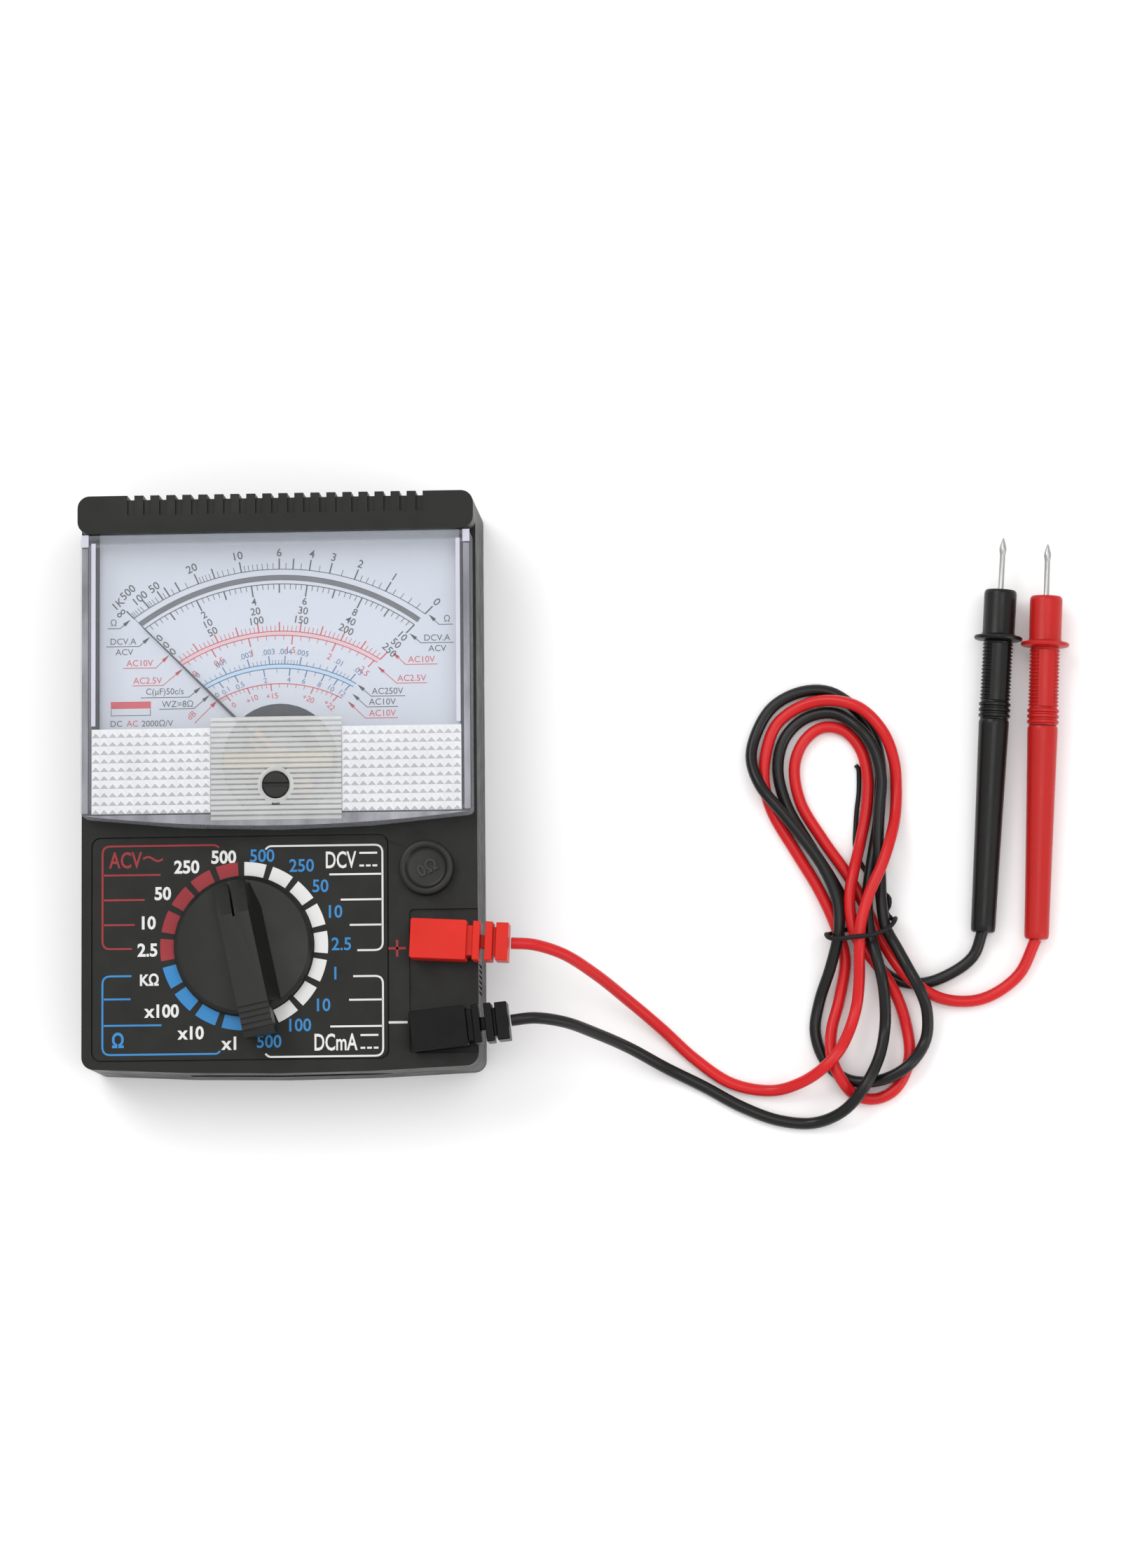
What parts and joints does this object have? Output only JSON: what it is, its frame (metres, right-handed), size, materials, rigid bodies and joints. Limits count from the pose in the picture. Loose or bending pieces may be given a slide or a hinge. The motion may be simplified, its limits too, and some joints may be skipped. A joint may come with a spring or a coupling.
{
  "type": "analog multimeter",
  "caption": "Pocket analogue multimeter with clear scale window, range selector, zero adjusters and two plug-in test leads ending in hand probes.",
  "frame": {"origin": "middle of the meter's underside, leads left out", "axes": "+X to the meter's right, where the leads leave, +Y to its top edge, +Z out of its face; it lies on its back"},
  "size_m": [0.2108, 0.1347, 0.0328],
  "materials": {
    "case_black": "satin, fine moulded texture",
    "clear": "clear, polished, with moulded prism bands",
    "dial_face": "matt bluish white print",
    "panel_black": "fine matt with white, red and blue print",
    "knob_black": "satin",
    "rotor_white": "plain",
    "needle_black": "matt",
    "brass": "plain",
    "steel": "bright",
    "iron": "plated",
    "coil_copper": "enamelled winding on a light frame",
    "board": "solder mask",
    "resistor": "lacquered",
    "diode": "moulded",
    "glass": "clear",
    "cell_wrap": "sleeve",
    "plug_red": "soft vinyl, satin",
    "plug_black": "soft vinyl, satin",
    "cord_red": "smooth vinyl",
    "cord_black": "smooth vinyl",
    "tie": "coated wire",
    "probe_red": "satin",
    "probe_black": "satin"
  },
  "bodies": {
    "meter": {"case_screw_1": "steel", "case_screw_2": "steel", "cell": "cell_wrap", "cell_contact": "steel", "cell_spring": "steel", "circuit_board": "board", "cord_black": "cord_black", "cord_red": "cord_red", "cord_tie": "tie", "core_bracket_1": "brass", "core_bracket_2": "brass", "core_magnet": "iron", "dial_plate": "dial_face", "dial_screw_left": "steel", "dial_screw_right": "steel", "diode_1": "diode", "diode_2": "diode", "front_case": "case_black", "fuse_clip_lower": "brass", "fuse_clip_upper": "brass", "fuse_tube": "glass", "jack_negative": "brass", "jack_positive": "brass", "lower_hairspring": "brass", "lower_jewel_screw": "brass", "movement_base": "case_black", "ohm_potentiometer": "case_black", "probe_black_grip": "probe_black", "probe_black_sleeve": "probe_black", "probe_black_tip": "steel", "probe_red_grip": "probe_red", "probe_red_sleeve": "probe_red", "probe_red_tip": "steel", "range_plate": "panel_black", "rear_case": "case_black", "resistor_1": "resistor", "resistor_2": "resistor", "resistor_3": "resistor", "resistor_4": "resistor", "upper_bridge": "brass", "upper_hairspring": "brass", "upper_jewel_screw": "brass", "window_cover": "clear", "yoke_ring": "iron"},
    "selector": {"selector_knob": "knob_black", "selector_rotor": "rotor_white", "wiper_contact": "brass", "detent_ball": "steel", "detent_spring": "steel"},
    "ohm_knob": {"ohm_adjust_knob": "knob_black"},
    "zero_screw": {"zero_adjust_screw": "knob_black"},
    "zero_arm": {"zero_lever": "brass"},
    "needle": {"pointer": "needle_black", "moving_coil": "coil_copper", "pivot_staff_upper": "steel", "pivot_staff_lower": "steel"},
    "red_plug": {"plug_red_body": "plug_red", "plug_red_pin": "steel"},
    "black_plug": {"plug_black_body": "plug_black", "plug_black_pin": "steel"}
  },
  "joints": [
    {"name": "selector_turn", "type": "hinge", "parent": "meter", "child": "selector", "pos_m": [-0.0075, -0.0344, 0.025], "axis": [0, 0, -1], "continuous": true},
    {"name": "ohm_knob_turn", "type": "hinge", "parent": "meter", "child": "ohm_knob", "pos_m": [0.0315, -0.0184, 0.025], "axis": [0, 0, -1], "range_deg": [-140, 140]},
    {"name": "zero_screw_turn", "type": "hinge", "parent": "meter", "child": "zero_screw", "pos_m": [0, -0.0008, 0.029], "axis": [0, 0, 1], "range_deg": [-45, 45]},
    {"name": "zero_arm_swing", "type": "hinge", "parent": "meter", "child": "zero_arm", "pos_m": [0, 0.0051, 0.026], "axis": [0, 0, 1], "range_deg": [-6, 6]},
    {"name": "needle_swing", "type": "hinge", "parent": "meter", "child": "needle", "pos_m": [0, 0.0051, 0.02], "axis": [0, 0, -1], "range_deg": [0, 90], "stiffness_Nm_per_rad": 0.0001},
    {"name": "red_plug_pull", "type": "slide", "parent": "meter", "child": "red_plug", "axis": [0, 0, 1], "range_m": [0, 0.016]},
    {"name": "black_plug_pull", "type": "slide", "parent": "meter", "child": "black_plug", "axis": [0, 0, 1], "range_m": [0, 0.016]}
  ],
  "couplings": [
    {"joint": "zero_arm_swing", "follows": "zero_screw_turn", "ratio": 0.119}
  ]
}
